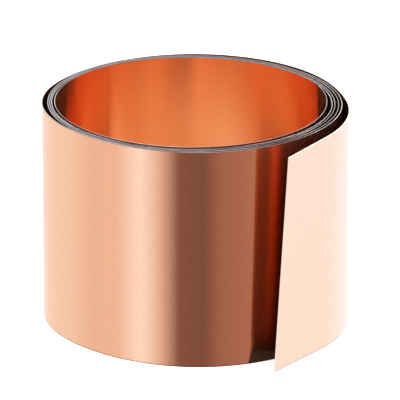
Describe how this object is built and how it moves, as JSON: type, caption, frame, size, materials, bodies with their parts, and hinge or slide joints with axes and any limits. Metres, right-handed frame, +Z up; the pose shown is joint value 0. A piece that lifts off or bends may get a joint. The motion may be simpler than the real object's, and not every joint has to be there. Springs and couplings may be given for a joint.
{
  "type": "copper strip roll",
  "caption": "Loose roll of bare thin copper strip standing on its edge, with a free outer end that stands off the roll.",
  "frame": {"origin": "centre of the roll's bounding box, on the surface that it stands on", "axes": "+Z up along the roll's axis, across the strip's width; the free outer end is at +X, -Y"},
  "size_m": [0.0684, 0.0706, 0.05],
  "materials": {
    "copper": "bright rolled copper, unlacquered, with fine rolling lines along the strip"
  },
  "bodies": {
    "turn_1": {"turn_1": "copper"},
    "turn_2": {"turn_2": "copper"},
    "turn_3": {"turn_3": "copper"},
    "turn_4": {"turn_4": "copper"},
    "turn_5": {"turn_5": "copper"},
    "tail_5": {"tail_5": "copper"},
    "tail_4": {"tail_4": "copper"},
    "tail_3": {"tail_3": "copper"},
    "tail_2": {"tail_2": "copper"},
    "tail_1": {"tail_1": "copper"},
    "inner_end_1": {"inner_end_1": "copper"},
    "inner_end_2": {"inner_end_2": "copper"},
    "inner_end_3": {"inner_end_3": "copper"},
    "inner_end_4": {"inner_end_4": "copper"}
  },
  "joints": [
    {"name": "turn_2_lift", "type": "slide", "parent": "turn_1", "child": "turn_2", "axis": [0, 0, 1], "range_m": [0, 0.004]},
    {"name": "turn_3_lift", "type": "slide", "parent": "turn_2", "child": "turn_3", "axis": [0, 0, 1], "range_m": [0, 0.004]},
    {"name": "turn_4_lift", "type": "slide", "parent": "turn_3", "child": "turn_4", "axis": [0, 0, 1], "range_m": [0, 0.004]},
    {"name": "turn_5_lift", "type": "slide", "parent": "turn_4", "child": "turn_5", "axis": [0, 0, 1], "range_m": [0, 0.004]},
    {"name": "tail_unroll", "type": "hinge", "parent": "turn_1", "child": "tail_5", "pos_m": [0.0337, 0.00214, 0], "axis": [0, 0, 1], "range_deg": [-3, 15], "stiffness_Nm_per_rad": 1.03},
    {"name": "tail_4_bend", "type": "hinge", "parent": "tail_5", "child": "tail_4", "pos_m": [0.03383, -0.00614, 0], "axis": [0.0024, 0, 1], "range_deg": [-2.4, 12]},
    {"name": "tail_3_bend", "type": "hinge", "parent": "tail_4", "child": "tail_3", "pos_m": [0.03179, -0.01416, 0], "axis": [0.0094, -0.0018, 1], "range_deg": [-1.8, 9]},
    {"name": "tail_2_bend", "type": "hinge", "parent": "tail_3", "child": "tail_2", "pos_m": [0.02771, -0.02136, 0], "axis": [0.0201, -0.0074, 0.9998], "range_deg": [-1.2, 6]},
    {"name": "tail_1_bend", "type": "hinge", "parent": "tail_2", "child": "tail_1", "pos_m": [0.02253, -0.02822, 0], "axis": [0.0388, -0.0058, 0.9992], "range_deg": [-0.6, 3]},
    {"name": "inner_end_flex", "type": "hinge", "parent": "turn_5", "child": "inner_end_1", "pos_m": [0.02695, -0.00975, 0], "axis": [0, 0, 1], "range_deg": [0, 12], "stiffness_Nm_per_rad": 1.26},
    {"name": "inner_end_2_bend", "type": "hinge", "parent": "inner_end_1", "child": "inner_end_2", "pos_m": [0.0286, -0.00421, 0], "axis": [0, 0, 1], "range_deg": [0, 9]},
    {"name": "inner_end_3_bend", "type": "hinge", "parent": "inner_end_2", "child": "inner_end_3", "pos_m": [0.02925, 0.00154, 0], "axis": [0, 0, 1], "range_deg": [0, 6]},
    {"name": "inner_end_4_bend", "type": "hinge", "parent": "inner_end_3", "child": "inner_end_4", "pos_m": [0.0289, 0.00732, 0], "axis": [0, 0, 1], "range_deg": [0, 3]}
  ],
  "couplings": [
    {"joint": "turn_3_lift", "follows": "turn_2_lift", "ratio": 1},
    {"joint": "turn_4_lift", "follows": "turn_2_lift", "ratio": 1},
    {"joint": "turn_5_lift", "follows": "turn_2_lift", "ratio": 1},
    {"joint": "tail_4_bend", "follows": "tail_unroll", "ratio": 0.8},
    {"joint": "tail_3_bend", "follows": "tail_unroll", "ratio": 0.6},
    {"joint": "tail_2_bend", "follows": "tail_unroll", "ratio": 0.4},
    {"joint": "tail_1_bend", "follows": "tail_unroll", "ratio": 0.2},
    {"joint": "inner_end_2_bend", "follows": "inner_end_flex", "ratio": 0.75},
    {"joint": "inner_end_3_bend", "follows": "inner_end_flex", "ratio": 0.5},
    {"joint": "inner_end_4_bend", "follows": "inner_end_flex", "ratio": 0.25}
  ]
}
